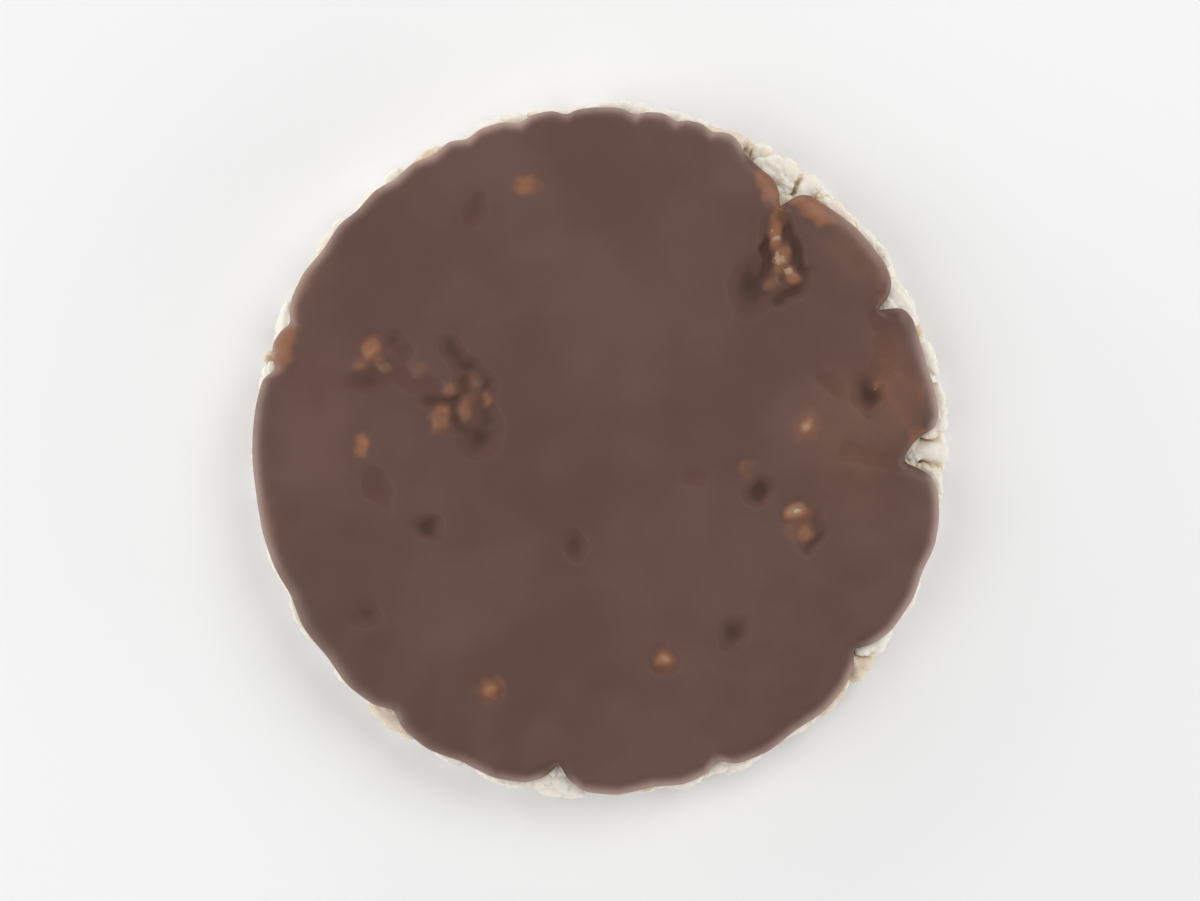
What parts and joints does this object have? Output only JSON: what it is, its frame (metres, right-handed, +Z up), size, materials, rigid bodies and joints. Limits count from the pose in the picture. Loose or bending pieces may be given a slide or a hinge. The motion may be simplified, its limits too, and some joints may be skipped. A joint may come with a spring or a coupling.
{
  "type": "chocolate-coated puffed rice cake",
  "caption": "Thin round cake of puffed rice kernels pressed into a flat disc, with a layer of milk chocolate over its top face that stops short in notches where bare rice shows.",
  "frame": {"origin": "middle of the underside, on the surface that the cake lies on", "axes": "+Z up, through the chocolate face; +Y towards the far edge of the face, which was its top edge while it stood upright; +X towards the right edge seen from above"},
  "size_m": [0.0918, 0.0917, 0.0094],
  "materials": {
    "rice": "matt, porous puffed grain, ivory with toasted tan flecks, slightly translucent",
    "chocolate": "satin milk chocolate, set, with a faint bloom and soft highlights on its rounded edge"
  },
  "bodies": {
    "root": {"puffed_rice": "rice", "chocolate_coating": "chocolate"}
  },
  "joints": []
}
